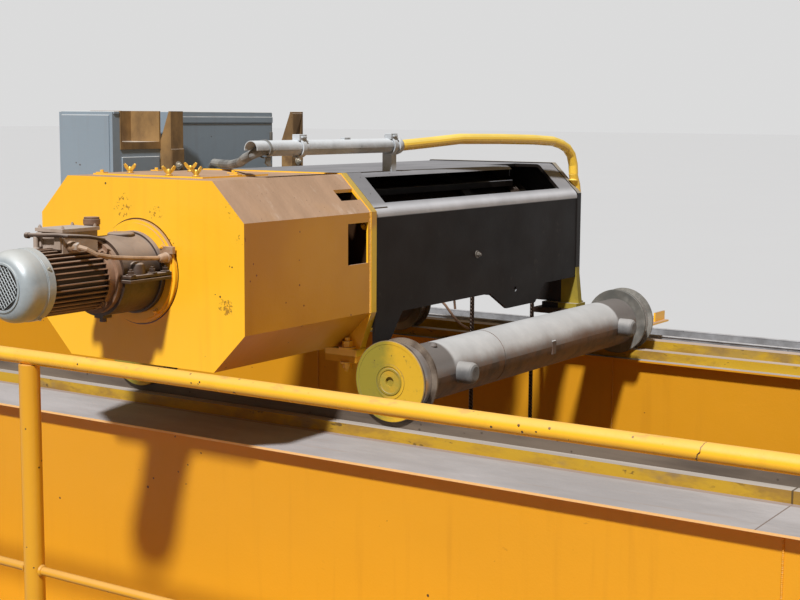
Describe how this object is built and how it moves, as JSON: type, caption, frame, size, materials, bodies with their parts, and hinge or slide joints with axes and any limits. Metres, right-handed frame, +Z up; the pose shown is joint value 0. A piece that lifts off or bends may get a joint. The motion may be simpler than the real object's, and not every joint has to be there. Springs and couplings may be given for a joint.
{
  "type": "overhead bridge crane",
  "caption": "Double girder overhead bridge crane with box girders, railed walkway and a rope hoist trolley on rails.",
  "frame": {"origin": "centre of the crane on the plane under the travel wheels' flanges", "axes": "+X along the girders, +Y across them away from the railed walkway, +Z up"},
  "size_m": [12.264, 3.34, 1.8039],
  "materials": {
    "yellow_paint": "satin",
    "yellow_cover": "satin",
    "olive_paint": "satin",
    "black_paint": "satin",
    "grey_paint": "satin",
    "cabinet_paint": "satin",
    "galvanised": "matt",
    "rail_steel": "worn",
    "dark_steel": "matt",
    "motor_casting": "matt",
    "zinc": "satin",
    "wire_rope": "greased",
    "rubber": "matt",
    "cable_sheath": "matt"
  },
  "bodies": {
    "bridge": {"front_girder": "yellow_paint", "rear_girder": "yellow_paint", "front_rail_base": "yellow_paint", "front_rail": "rail_steel", "rear_rail": "rail_steel", "end_carriages": "yellow_paint", "travel_wheels": "dark_steel", "travel_drives": "cabinet_paint", "end_carriage_buffers": "rubber", "trolley_stops": "yellow_paint", "walkway_floor": "yellow_paint", "walkway_brackets": "yellow_paint", "railing_posts": "yellow_cover", "handrail": "yellow_cover", "knee_rail": "yellow_cover", "cable_tray": "galvanised", "guide_bar": "yellow_paint"},
    "trolley": {"axle_beams": "grey_paint", "housing_cover": "yellow_cover", "front_saddle_plate": "yellow_cover", "rear_saddle_plate": "olive_paint", "gear_housing": "yellow_cover", "drum_frame": "black_paint", "rope_drum": "dark_steel", "adapter_plate": "yellow_cover", "bell_housing": "motor_casting", "hoist_motor": "motor_casting", "fan_cowl": "zinc", "terminal_box": "zinc", "motor_cable": "cable_sheath", "conduit_pipe": "grey_paint", "conduit_hose": "cable_sheath", "tow_arm": "yellow_paint", "bent_tube": "yellow_cover", "cabinet_frame": "yellow_paint", "control_cabinets": "cabinet_paint", "trolley_buffers": "rubber", "hoist_ropes": "wire_rope", "hook_block": "yellow_paint", "hook_sheave": "dark_steel", "lifting_hook": "dark_steel"},
    "front_left_wheel_body": {"front_left_wheel": "olive_paint"},
    "front_right_wheel_body": {"front_right_wheel": "olive_paint"},
    "rear_left_wheel_body": {"rear_left_wheel": "olive_paint"},
    "rear_right_wheel_body": {"rear_right_wheel": "olive_paint"}
  },
  "joints": [
    {"name": "trolley_traverse", "type": "slide", "parent": "bridge", "child": "trolley", "axis": [1, 0, 0], "range_m": [-4.84, 4.96]},
    {"name": "front_left_wheel_spin", "type": "hinge", "parent": "trolley", "child": "front_left_wheel_body", "pos_m": [-0.513, -0.7, 1.0953], "axis": [0, 1, 0], "continuous": true},
    {"name": "front_right_wheel_spin", "type": "hinge", "parent": "trolley", "child": "front_right_wheel_body", "pos_m": [0.393, -0.7, 1.0953], "axis": [0, 1, 0], "continuous": true},
    {"name": "rear_left_wheel_spin", "type": "hinge", "parent": "trolley", "child": "rear_left_wheel_body", "pos_m": [-0.513, 0.7, 1.0953], "axis": [0, 1, 0], "continuous": true},
    {"name": "rear_right_wheel_spin", "type": "hinge", "parent": "trolley", "child": "rear_right_wheel_body", "pos_m": [0.393, 0.7, 1.0953], "axis": [0, 1, 0], "continuous": true}
  ],
  "couplings": [
    {"joint": "front_left_wheel_spin", "follows": "trolley_traverse", "rad_per_m": 10.526},
    {"joint": "front_right_wheel_spin", "follows": "trolley_traverse", "rad_per_m": 10.526},
    {"joint": "rear_left_wheel_spin", "follows": "trolley_traverse", "rad_per_m": 10.526},
    {"joint": "rear_right_wheel_spin", "follows": "trolley_traverse", "rad_per_m": 10.526}
  ]
}
